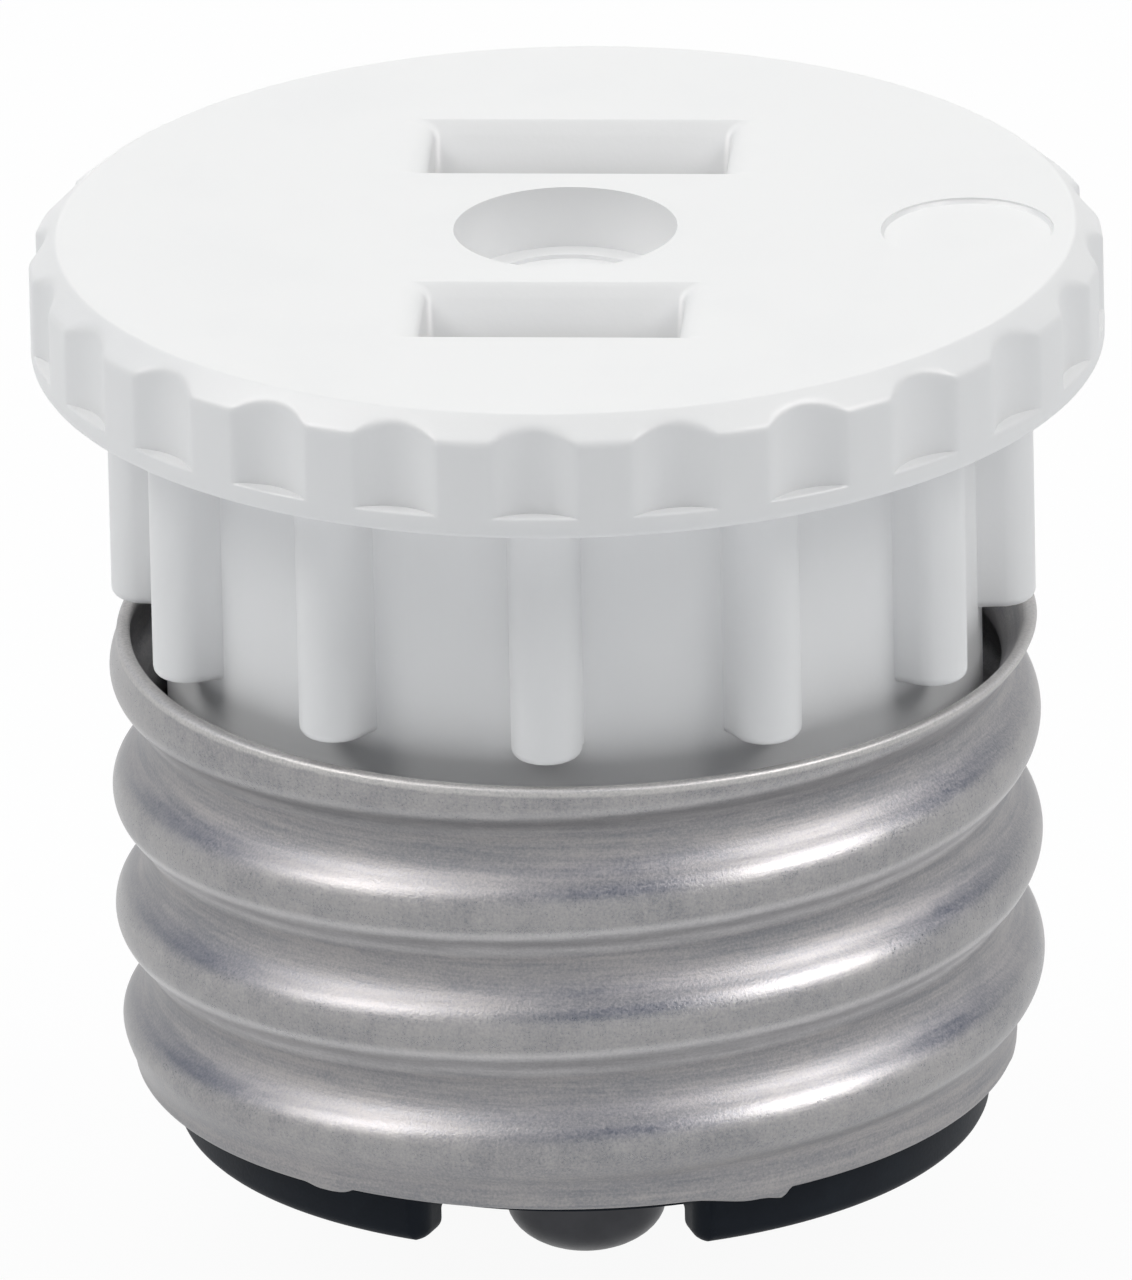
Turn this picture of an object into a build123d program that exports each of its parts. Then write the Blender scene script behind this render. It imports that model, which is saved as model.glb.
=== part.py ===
from build123d import *
import os
from math import asin, ceil, cos, hypot, pi, sin, sqrt

# Lamp socket adapter: a medium screw base that carries a two-slot outlet.
# Millimetres. The origin is the tip of the centre contact, +Z points to the outlet face,
# the slots run along X and the short slot is on the -Y side.

# Screw shell, a medium lamp thread rolled in thin sheet
thread_pitch = 3.629
thread_root_radius = 12.29
thread_depth = 0.84
thread_crest_height = 2.87      # height of the crest on the +X side above the shell's lower face
shell_wall = 0.28
shell_height = 13.15
shell_corner = 0.35             # rounding where the wall turns in to the floor
shell_corner_step = 0.7         # how far the corner lies inside the crests
shell_runout = 2.5              # height of the cone that fades the crests at the lower end
shell_seat = 1.3                # width of the in-turned floor under the core
tongue_count = 6
tongue_width = 1.3
tongue_drop = 0.28
tongue_thickness = 0.7
tongue_rounding = 0.2

# Moulded core, ribs and outlet flange
core_gap = 0.5                  # between the core and the shell's inner roots
core_edge = 0.3
rib_count = 12
rib_radius = 1.0
rib_height = 1.55               # how far a rib stands out from the core
rib_length = 7.65
rib_rounding = 0.3
rib_gap = 0.6                   # between the ribs and the shell's rim
flange_radius = 15.1
flange_thickness = 3.47
bevel_width = 0.77
bevel_height = 0.65
flange_lower_rounding = 0.2
flute_count = 24
flute_width = 2.3
flute_depth = 0.43
flute_ledge = 0.62              # plain ring left under the flutes
recess_radius = 3.15
recess_depth = 1.76
recess_step_width = 0.7
recess_step = 0.12
disc_radius = 2.43
disc_depth = 0.15
disc_margin = 0.6               # between the disc and the bevel

# Outlet slots
slot_spacing = 12.7
long_slot = 10.2
short_slot = 9.05
slot_width = 4.0
slot_lead = 0.15                # fine bevel round the opening
funnel_depth = 2.0
funnel_end_run = 0.95           # how far each end of the slot slopes in
funnel_side_run = 0.9           # how far each side of the slot slopes in
face_wall = 3.2                 # wall between the face and the contact pockets

# Base insulator
base_thickness = 0.85
foot_height = 1.6
foot_width = 1.25
foot_rounding = 0.35
foot_end_rounding = 0.6         # of the feet's outer ends, seen from below
notch_angle = 39.0
boss_radius = 3.3
boss_height = 2.8

# Centre contact, a rivet with a domed head
contact_radius = 2.27
contact_height = 3.2
contact_dome = 1.37
rivet_radius = 1.2
clinch_radius = 2.0
clinch_height = 0.6

# Blade contacts, folded from brass sheet
contact_sheet = 0.5
clip_half_width = 1.6
clip_bend = 0.7
pinch_gap = 1.2
pinch_depth = 10.5              # below the face
pinch_run = 7.0
mouth_flare = 0.7
clip_top_gap = 1.2
long_clip = 7.6
short_clip = 6.2
lug_width = 2.2
lug_slit = 0.35                 # on each side of the lug
lug_overlap = 0.9               # how far the neutral lug lies on the shell's floor

# Base screws
screw_spacing = 12.6
screw_radius = 1.45
screw_length = 9.5
screw_point = 1.5
screw_head_radius = 2.4
screw_head_height = 1.3
screw_head_rounding = 0.5
screw_slot_width = 0.7
screw_slot_depth = 0.6

# Clearances
hole_clearance = 0.1
spigot_clearance = 0.1
tongue_clearance = 0.05
pocket_clearance = 0.25
pilot_clearance = 0.02

# Levels from the contact tip upwards
base_top = contact_height + boss_height
core_bottom = base_top + shell_wall
shell_rim = base_top + shell_height
rib_bottom = shell_rim + rib_gap
flange_bottom = rib_bottom + rib_length
face_level = flange_bottom + flange_thickness
pocket_top = face_level - face_wall
clip_top = pocket_top - clip_top_gap

# Radii that follow from the shell
thread_crest_radius = thread_root_radius + thread_depth
thread_arc = (thread_pitch ** 2 / 4 + thread_depth ** 2) / (4 * thread_depth)
core_radius = thread_root_radius - shell_wall - core_gap
shell_hole_radius = core_radius - shell_seat
spigot_radius = shell_hole_radius - spigot_clearance
face_radius = flange_radius - bevel_width
lug_reach = shell_hole_radius + lug_overlap

slot_y = slot_spacing / 2
clip_level = core_bottom


def turned(*points):
    """A solid of revolution about Z from the (radius, height) corners of its half section."""
    outline = make_face(Polyline(*points, close=True))
    return revolve(Plane.XZ * outline, Axis.Z)


def post(radius, low, high, x=0, y=0):
    """An upright round bar between two heights."""
    return Pos(x, y, low) * Cylinder(radius, high - low, align=(Align.CENTER, Align.CENTER, Align.MIN))


def block(length, width, low, high, x=0, y=0):
    """An upright block between two heights, centred on x and y."""
    return Pos(x, y, low) * Box(length, width, high - low, align=(Align.CENTER, Align.CENTER, Align.MIN))


def thread_section(inset):
    """Half section of a threaded blank with a plain bore, reaching past both ends of the shell.

    The rolled thread is tangent arcs of one radius, so its inset is tangent arcs as well.
    """
    crest_arc = thread_arc - inset
    crest_centre = thread_crest_radius - thread_arc
    lean = asin(thread_pitch / (4 * thread_arc))
    joint_radius = crest_centre + crest_arc * cos(lean)
    reach = crest_arc * sin(lean)
    first = base_top + thread_crest_height % thread_pitch - 3 * thread_pitch
    turns = ceil((shell_rim - first) / thread_pitch) + 1
    crests = [first + turn * thread_pitch for turn in range(turns)]
    outline = []
    for crest in crests:
        outline.append(ThreePointArc(
            (joint_radius, crest - reach), (thread_crest_radius - inset, crest), (joint_radius, crest + reach)))
    for crest in crests[1:]:
        outline.append(ThreePointArc(
            (joint_radius, crest - thread_pitch + reach), (thread_root_radius - inset, crest - thread_pitch / 2),
            (joint_radius, crest - reach)))
    low = crests[0] - reach
    high = crests[-1] + reach
    bore = shell_hole_radius / 2
    outline.append(Polyline((joint_radius, high), (bore, high), (bore, low), (joint_radius, low)))
    return make_face(outline)


def threaded_blank(inset, envelope):
    """A threaded blank trimmed by a turned form, made of two half turns that follow the thread."""
    path = Helix(thread_pitch, thread_pitch / 2, thread_root_radius)
    half = sweep(Plane.XZ * thread_section(inset), path, is_frenet=True)
    other = Pos(0, 0, thread_pitch / 2) * Rot(0, 0, 180) * half
    return (half & envelope) + (other & envelope)


def shell_envelope(inset, top):
    """The turned form that trims the thread at the rim and fades it at the lower corner."""
    corner = shell_corner - inset
    outer = thread_crest_radius + shell_corner_step - inset
    corner_radius = thread_crest_radius - shell_corner_step - inset
    low = base_top + inset
    fade = base_top + shell_runout
    floor = Line((0, low), (corner_radius - corner, low))
    turn = CenterArc((corner_radius - corner, low + corner), corner, -90, 90)
    wall = Polyline(
        (corner_radius, low + corner), (outer, fade), (outer, top), (0, top), (0, low))
    return revolve(Plane.XZ * make_face(floor + turn + wall), Axis.Z)


def screw_shell():
    """Threaded sheet cup with an open floor and small tongues staked over the base's edge."""
    outside = threaded_blank(0, shell_envelope(0, shell_rim))
    inside = threaded_blank(shell_wall, shell_envelope(shell_wall, shell_rim + shell_wall))
    shell = outside - inside - post(shell_hole_radius, base_top - shell_wall, shell_rim)
    for index in range(tongue_count):
        shell += Rot(0, 0, index * 360 / tongue_count) * tongue()
    return shell


def tongue():
    """One staked tongue on the +X side, joined to the underside of the shell's floor."""
    rise = tongue_drop + shell_wall / 2
    inner = core_radius + tongue_clearance
    plate = Rectangle(tongue_width, rise, align=(Align.CENTER, Align.MIN))
    plate = fillet(plate.vertices().group_by(Axis.Y)[0], tongue_rounding)
    return extrude(Plane((inner, 0, base_top - tongue_drop), (0, 1, 0), (1, 0, 0)) * plate, tongue_thickness)


def foot_ends(feet):
    """The upright outer edges beside the notches."""
    middle = core_radius - foot_width / 2
    upright = [(edge, edge.center()) for edge in feet.edges().filter_by(Axis.Z)]
    return [edge for edge, at in upright if hypot(at.X, at.Y) > middle and abs(at.X) < abs(at.Y)]


def base_insulator():
    """Black disc under the shell: spigot in the shell's floor, two arc feet, boss for the rivet."""
    foot_bottom = base_top - foot_height
    web_bottom = base_top - base_thickness
    feet = post(core_radius, foot_bottom, base_top) - post(core_radius - foot_width, foot_bottom, web_bottom)
    wedge_reach = 2 * core_radius
    wedge_half = wedge_reach * sin(notch_angle * pi / 360)
    wedge_edge = wedge_reach * cos(notch_angle * pi / 360)
    wedge = make_face(Polyline((0, 0), (wedge_half, wedge_edge), (-wedge_half, wedge_edge), close=True))
    notch = extrude(Pos(0, 0, foot_bottom) * wedge, foot_height)
    feet -= notch + Rot(0, 0, 180) * notch
    feet = fillet(foot_ends(feet), min(foot_end_rounding, foot_width / 2))
    feet = fillet(feet.faces().group_by(Axis.Z)[0].edges(), foot_rounding)
    base = feet + post(spigot_radius, web_bottom, core_bottom)
    base += post(boss_radius, contact_height, base_top)
    base -= post(rivet_radius + hole_clearance, 0, core_bottom)
    for side in (-1, 1):
        base -= post(screw_radius + hole_clearance, contact_height, core_bottom, side * screw_spacing / 2)
    return base


def centre_contact():
    """Domed head below the boss, shank through base and lug, and the clinched end on top."""
    lug_top = clip_level + contact_sheet
    dome = EllipticalCenterArc((0, contact_dome), contact_radius, contact_dome, -90, arc_size=90)
    rest = Polyline(
        (contact_radius, contact_dome), (contact_radius, contact_height), (rivet_radius, contact_height),
        (rivet_radius, lug_top), (clinch_radius, lug_top), (rivet_radius, lug_top + clinch_height),
        (0, lug_top + clinch_height), (0, 0))
    return revolve(Plane.XZ * make_face(dome + rest), Axis.Z)


def clip_leaf(width):
    """Half of a blade contact: floor from the middle out, bend, and a leaf that pinches and flares."""
    pinch_level = face_level - pinch_depth - clip_level
    pinch = pinch_gap / 2 + contact_sheet
    path = FilletPolyline(
        (0, 0), (clip_half_width, 0), (clip_half_width, pinch_level - pinch_run),
        (pinch, pinch_level), (pinch + mouth_flare, clip_top - clip_level), radius=clip_bend)
    section = make_face(path.offset_2d(contact_sheet, side=Side.LEFT, closed=True))
    return extrude(Plane.YZ * section, width / 2, both=True)


def blade_contact(width, reach, y):
    """Folded clip: a full leaf on -Y, two fingers on +Y and a flat lug between the fingers."""
    leaf = clip_leaf(width)
    gap = lug_width + 2 * lug_slit
    slit_from = clip_half_width - clip_bend
    slit_depth = clip_half_width
    slit = block(gap, slit_depth, 0, clip_top, y=slit_from + slit_depth / 2)
    clip = mirror(leaf, Plane.XZ) + (leaf - slit)
    clip += block(lug_width, reach, 0, contact_sheet, y=reach / 2)
    return Pos(0, y, clip_level) * clip


def hot_contact():
    """Clip under the short slot, with its lug run to an eye on the axis that the rivet holds."""
    contact = blade_contact(short_clip, slot_y, -slot_y)
    contact += post(clinch_radius, clip_level, clip_level + contact_sheet)
    return contact - post(rivet_radius + hole_clearance, base_top, clip_top)


def neutral_contact():
    """Clip under the long slot, with its lug clamped on the shell's floor."""
    return blade_contact(long_clip, lug_reach - slot_y, slot_y)


def base_screw(x):
    """One slotted screw from below, through the base into the core."""
    seat = base_top - base_thickness
    head = fillet(
        post(screw_head_radius, seat - screw_head_height, seat).edges().group_by(Axis.Z)[0], screw_head_rounding)
    shank_top = seat + screw_length
    shank = turned(
        (0, seat), (screw_radius, seat), (screw_radius, shank_top - screw_point), (0, shank_top))
    head_low = seat - screw_head_height
    slot = block(3 * screw_head_radius, screw_slot_width, head_low, head_low + screw_slot_depth)
    return Pos(x, 0, 0) * (head + shank - slot)


def base_screws():
    """The two screws, as one group of separate solids."""
    return Compound([base_screw(side * screw_spacing / 2) for side in (-1, 1)])


def flange():
    """Outlet flange: bevelled top edge, flutes round the side and a plain ring under them."""
    outline = make_face(Polyline(
        (0, flange_bottom), (flange_radius, flange_bottom), (flange_radius, face_level - bevel_height),
        (face_radius, face_level), (0, face_level), close=True))
    lower_edge = outline.vertices().sort_by_distance((flange_radius, flange_bottom))[0]
    plate = revolve(Plane.XZ * fillet(lower_edge, flange_lower_rounding), Axis.Z)
    half = flute_width / 2
    chord_drop = flange_radius - sqrt(flange_radius ** 2 - half ** 2)
    sag = flute_depth - chord_drop
    cutter_radius = (half ** 2 + sag ** 2) / (2 * sag)
    distance = flange_radius - flute_depth + cutter_radius
    cutters = []
    for index in range(flute_count):
        angle = 2 * pi * index / flute_count
        cutters.append(post(
            cutter_radius, flange_bottom + flute_ledge, face_level + bevel_height,
            distance * cos(angle), distance * sin(angle)))
    return plate - cutters


def rib():
    """One half-round rib on the -Y side of the core."""
    middle = core_radius + rib_height - rib_radius
    column = post(rib_radius, rib_bottom, flange_bottom, y=-middle)
    column += block(2 * rib_radius, middle, rib_bottom, flange_bottom, y=-middle / 2)
    return fillet(column.faces().sort_by(Axis.Z)[0].edges(), rib_rounding)


def slot_opening(length, y):
    """Cut for one slot: fine bevel at the face, funnel, and a straight throat into the pocket."""
    throat_length = length - 2 * funnel_end_run
    throat_width = slot_width - 2 * funnel_side_run
    mouth = Rectangle(length + 2 * slot_lead, slot_width + 2 * slot_lead)
    opening = Rectangle(length, slot_width)
    throat = Rectangle(throat_length, throat_width)
    lead_level = face_level - slot_lead
    funnel_level = face_level - funnel_depth
    cut = loft([Pos(0, y, face_level) * mouth, Pos(0, y, lead_level) * opening], ruled=True)
    cut += loft([Pos(0, y, lead_level) * opening, Pos(0, y, funnel_level) * throat], ruled=True)
    cut += block(throat_length, throat_width, pocket_top, funnel_level, y=y)
    return cut


def contact_pocket(clip_width, y):
    """Pocket in the core, open at the bottom, that a blade contact stands in."""
    half = clip_half_width + pocket_clearance
    mouth = pinch_gap / 2 + contact_sheet + mouth_flare + pocket_clearance
    return block(clip_width + 2 * pocket_clearance, 2 * max(half, mouth), core_bottom, pocket_top, y=y)


def face_body():
    """White moulding: flange, core and ribs, cut for slots, contacts, screws and face marks."""
    core = post(core_radius, core_bottom, face_level - bevel_height)
    core = chamfer(core.edges().group_by(Axis.Z)[0], core_edge)
    body = flange() + core
    for index in range(rib_count):
        body += Rot(0, 0, index * 360 / rib_count) * rib()
    body -= slot_opening(long_slot, slot_y)
    body -= slot_opening(short_slot, -slot_y)
    body -= contact_pocket(long_clip, slot_y)
    body -= contact_pocket(short_clip, -slot_y)
    body -= lug_channel()
    for side in (-1, 1):
        pilot_top = base_top - base_thickness + screw_length
        body -= post(screw_radius + pilot_clearance, base_top, pilot_top, side * screw_spacing / 2)
    return body - face_marks()


def lug_channel():
    """Shallow channels in the core's end for the two lugs and the rivet's clinched end."""
    width = lug_width + 2 * lug_slit
    lug_top = clip_level + contact_sheet
    neutral_run = 2 * core_radius - slot_y
    channel = block(width, neutral_run, base_top, lug_top, y=slot_y + neutral_run / 2)
    channel += block(width, slot_y, base_top, lug_top, y=-slot_y / 2)
    channel += post(
        clinch_radius + pocket_clearance, base_top, lug_top + clinch_height + pocket_clearance)
    return channel


def face_marks():
    """Blind round recess with a fine step at the middle of the face, and a shallow disc at +X."""
    floor = face_level - recess_depth
    marks = post(recess_radius, floor, face_level)
    marks += post(recess_radius - recess_step_width, floor - recess_step, face_level)
    disc_x = face_radius - disc_margin - disc_radius
    marks += post(disc_radius, face_level - disc_depth, face_level, disc_x)
    return marks


os.makedirs("parts", exist_ok=True)
pieces = {
    "face_body": face_body(),
    "screw_shell": screw_shell(),
    "base_insulator": base_insulator(),
    "centre_contact": centre_contact(),
    "hot_contact": hot_contact(),
    "neutral_contact": neutral_contact(),
    "base_screws": base_screws(),
}
for node, shape in pieces.items():
    export_step(shape, f"parts/{node}.step")
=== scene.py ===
"""Looks of the lamp socket adapter: modelled pieces, procedural finishes, studio and camera."""
import logging
import math
from dataclasses import dataclass
from enum import Enum
from typing import Any, Callable, Sequence

import bpy
import numpy as np
from mathutils import Matrix, Vector


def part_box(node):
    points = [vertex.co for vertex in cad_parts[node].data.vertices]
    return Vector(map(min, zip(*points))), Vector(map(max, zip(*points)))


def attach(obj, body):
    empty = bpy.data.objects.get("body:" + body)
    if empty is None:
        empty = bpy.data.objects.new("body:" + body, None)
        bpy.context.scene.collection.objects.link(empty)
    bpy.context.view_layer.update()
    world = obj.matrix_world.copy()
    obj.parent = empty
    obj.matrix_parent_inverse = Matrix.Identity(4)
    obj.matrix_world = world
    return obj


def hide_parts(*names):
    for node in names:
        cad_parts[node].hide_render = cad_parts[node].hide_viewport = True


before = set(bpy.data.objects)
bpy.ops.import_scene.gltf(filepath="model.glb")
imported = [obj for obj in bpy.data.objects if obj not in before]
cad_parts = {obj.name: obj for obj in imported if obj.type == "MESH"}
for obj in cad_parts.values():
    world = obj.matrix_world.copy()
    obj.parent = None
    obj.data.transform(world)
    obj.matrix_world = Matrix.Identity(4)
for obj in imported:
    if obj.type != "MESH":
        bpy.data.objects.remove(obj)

LOG = logging.getLogger("adapter")
MM = 0.001
"""Pieces are modelled in millimetres and brought to metres when they are finished."""

Colour = tuple[float, float, float]
Point = tuple[float, float, float]
Row = tuple[float, float]
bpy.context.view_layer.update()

CORE_RADIUS = 11.51     # of the moulding's core and of the black foot
SEAT_LEVEL = 6.0        # upper side of the black foot, on which the shell sits
RIM_LEVEL = 19.15       # of the shell's open rim
LUG_TOP = 6.78          # upper side of the contact lugs, on which the rivet is clinched
SCREW_SPACING = 12.6
SPARE = 1.0             # how far a cutter reaches past the surface that it opens


class Cap(Enum):
    """Whether the ends of a turned form are closed."""

    OPEN = "NOTHING"
    CLOSED = "NGON"


class Part(Enum):
    """What is picked out of a mesh, with the name of the mesh's list of them."""

    FACE = "polygons"
    EDGE = "edges"


@dataclass(frozen=True)
class Noise:
    """A layer of soft noise."""

    size: float                         # of one blotch, in millimetres
    detail: float = 3.0                 # how many finer layers it has
    roughness: float = 0.5              # how strong those layers are
    stretch: Point = (1.0, 1.0, 1.0)    # below 1 on the axes along which the blotches are drawn out


class Wire:
    """A number in a shader. Arithmetic on it adds Math nodes to its graph."""

    def __init__(self, graph: "Graph", socket: bpy.types.NodeSocket) -> None:
        """Keep the socket and the graph that it belongs to."""
        self.graph = graph
        self.socket = socket

    def __add__(self, other: "Wire | float") -> "Wire":
        """This value plus another."""
        return self.graph.maths("ADD", self, other)

    def __radd__(self, other: float) -> "Wire":
        """A number plus this value."""
        return self.graph.maths("ADD", other, self)

    def __sub__(self, other: "Wire | float") -> "Wire":
        """This value less another."""
        return self.graph.maths("SUBTRACT", self, other)

    def __rsub__(self, other: float) -> "Wire":
        """A number less this value."""
        return self.graph.maths("SUBTRACT", other, self)

    def __mul__(self, other: "Wire | float") -> "Wire":
        """This value times another."""
        return self.graph.maths("MULTIPLY", self, other)

    def __rmul__(self, other: float) -> "Wire":
        """A number times this value."""
        return self.graph.maths("MULTIPLY", other, self)


class Graph:
    """The node tree of a material or of the world."""

    def __init__(self, tree: bpy.types.NodeTree) -> None:
        """Start with an empty tree."""
        self.tree = tree
        tree.nodes.clear()

    def add(self, kind: str, settings: dict[str, Any] | None = None,
            inputs: dict[str | int, Any] | None = None, output: str | int = 0) -> Wire:
        """Add one node.

        Args:
            kind: The node's type.
            settings: Its options, set before its sockets.
            inputs: Values or wires for its sockets, by name or by number.
            output: The socket that is handed back.

        Returns:
            The chosen output, or the first input of a node that has no output.
        """
        node = self.tree.nodes.new(kind)
        for option, value in (settings or {}).items():
            setattr(node, option, value)
        for socket, value in (inputs or {}).items():
            if isinstance(value, Wire):
                self.tree.links.new(value.socket, node.inputs[socket])
            else:
                node.inputs[socket].default_value = value
        sockets = node.outputs if node.outputs else node.inputs
        return Wire(self, sockets[output])

    def maths(self, operation: str, first: Wire | float, second: Wire | float) -> Wire:
        """Add a Math node for two values."""
        return self.add("ShaderNodeMath", {"operation": operation}, {0: first, 1: second})

    def position(self) -> Wire:
        """The point on the object, in millimetres."""
        place = self.add("ShaderNodeTexCoord", output="Object")
        return self.add("ShaderNodeVectorMath", {"operation": "SCALE"}, {0: place, "Scale": 1 / MM})

    def stretched(self, place: Wire, factors: Point) -> Wire:
        """A point with each axis scaled by its own factor."""
        return self.add("ShaderNodeVectorMath", {"operation": "MULTIPLY"}, {0: place, 1: factors})

    def axes(self, place: Wire) -> tuple[Wire, Wire, Wire]:
        """The x, y and z of a point."""
        parts = self.add("ShaderNodeSeparateXYZ", inputs={0: place}).socket.node.outputs
        return Wire(self, parts[0]), Wire(self, parts[1]), Wire(self, parts[2])

    def radius(self, place: Wire) -> Wire:
        """The distance of a point from the Z axis."""
        flat = self.stretched(place, (1.0, 1.0, 0.0))
        return self.add("ShaderNodeVectorMath", {"operation": "LENGTH"}, {0: flat}, "Value")

    def noise(self, place: Wire, *layers: Noise) -> list[Wire]:
        """Read layers of soft noise, each between 0 and 1, at a place in millimetres."""
        return [self.add("ShaderNodeTexNoise", None, {
            "Vector": self.stretched(place, layer.stretch), "Scale": 1 / layer.size,
            "Detail": layer.detail, "Roughness": layer.roughness}) for layer in layers]

    def rise(self, value: Wire, low: float, high: float) -> Wire:
        """A smooth step from 0 at the low value to 1 at the high one."""
        return self.add("ShaderNodeMapRange", {"interpolation_type": "SMOOTHSTEP"}, {
            "Value": value, "From Min": low, "From Max": high})

    def mix(self, share: Wire, first: Wire | Colour, second: Wire | Colour) -> Wire:
        """Lay a share of the second colour over the first."""
        pair = [c if isinstance(c, Wire) else (*c, 1.0) for c in (first, second)]
        return self.add("ShaderNodeMix", {"data_type": "RGBA"}, {0: share, 6: pair[0], 7: pair[1]}, 2)

    def bump(self, height: Wire, distance: float, strength: float) -> Wire:
        """A normal bumped by a relief between 0 and 1, its distance in millimetres."""
        return self.add("ShaderNodeBump", None, {
            "Height": height, "Distance": distance * MM, "Strength": strength})


def coated(name: str, surface: Callable[[Graph], Wire]) -> bpy.types.Material:
    """Make a material.

    Args:
        name: The material's name.
        surface: Adds the nodes of the surface to a graph and hands back its shader.

    Returns:
        The material.
    """
    material = bpy.data.materials.new(name)
    material.use_nodes = True
    graph = Graph(material.node_tree)
    graph.add("ShaderNodeOutputMaterial", None, {"Surface": surface(graph)})
    return material


@dataclass(frozen=True)
class Finish:
    """A surface that is the same wherever it is used."""

    name: str

    def material(self) -> bpy.types.Material:
        """A new material with this finish."""
        return coated(self.name, self.shader)

    def shader(self, graph: Graph) -> Wire:
        """The shader that holds this finish's sockets."""
        return graph.add("ShaderNodeBsdfPrincipled", None, self.sockets(graph))

    def sockets(self, graph: Graph) -> dict[str, Any]:
        """What the shader's sockets hold; each finish gives its own."""
        raise NotImplementedError(self.name)


@dataclass(frozen=True)
class Patches:
    """Places where a layer of noise lets a second colour show."""

    low: float      # noise at which they begin
    high: float     # noise at which they are full
    share: float    # how much of the second colour shows there

    def colour(self, graph: Graph, noise: Wire, below: Colour, above: Colour) -> Wire:
        """The first colour with patches of the second on it."""
        return graph.mix(graph.rise(noise, self.low, self.high) * self.share, below, above)


@dataclass(frozen=True)
class WhiteMoulding(Finish):
    """Satin white plastic with faint flow marks."""

    name: str = "white_moulding"
    colour: Colour = (0.87, 0.871, 0.876)
    shade: Colour = (0.838, 0.842, 0.852)
    gloss: float = 0.36
    flow: Noise = Noise(5.0, stretch=(1.0, 1.0, 0.35))
    cloud: Noise = Noise(1.6, detail=2.0)
    grain: Noise = Noise(0.16, roughness=0.6)
    marks: Patches = Patches(0.42, 0.78, 0.5)
    relief: float = 0.012

    def sockets(self, graph: Graph) -> dict[str, Any]:
        """White with soft flow marks, a fine mould grain and slightly uneven gloss.

        Args:
            graph: The material's graph.

        Returns:
            What each socket holds, by its name.
        """
        flow, cloud, grain = graph.noise(graph.position(), self.flow, self.cloud, self.grain)
        return {
            "Base Color": self.marks.colour(graph, flow, self.colour, self.shade),
            "Roughness": self.gloss + cloud * 0.1 + grain * 0.05,
            "Normal": graph.bump(grain * 0.7 + cloud * 0.3, self.relief, 0.35),
        }


@dataclass(frozen=True)
class Thread:
    """The rolled lamp thread, which the shell's form and its finish share."""

    pitch: float = 3.629
    root: float = 12.29
    depth: float = 0.84
    crest_height: float = 2.87  # of a crest on the +X side, above the shell's floor

    @property
    def crest(self) -> float:
        """Radius of the crests."""
        return self.root + self.depth

    def radius(self, angle: np.ndarray, above: float, inset: float) -> np.ndarray:
        """Radius of the sheet, two tangent arcs in each pitch.

        Args:
            angle: Angles from +X.
            above: The height above the shell's floor.
            inset: How far inside the sheet's outer face.

        Returns:
            The radii.
        """
        arc = (self.pitch ** 2 / 4 + self.depth ** 2) / (4 * self.depth)
        rise = (above - self.crest_height) / self.pitch - angle / (2 * math.pi)
        travel = np.abs((rise + 0.5) % 1 - 0.5) * self.pitch
        crest_arc, root_arc = arc - inset, arc + inset
        convex = self.crest - arc + np.sqrt(np.maximum(crest_arc ** 2 - travel ** 2, 0))
        from_root = self.pitch / 2 - travel
        concave = self.root + arc - np.sqrt(np.maximum(root_arc ** 2 - from_root ** 2, 0))
        return np.where(travel <= self.pitch / 4 * crest_arc / arc, convex, concave)


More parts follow.
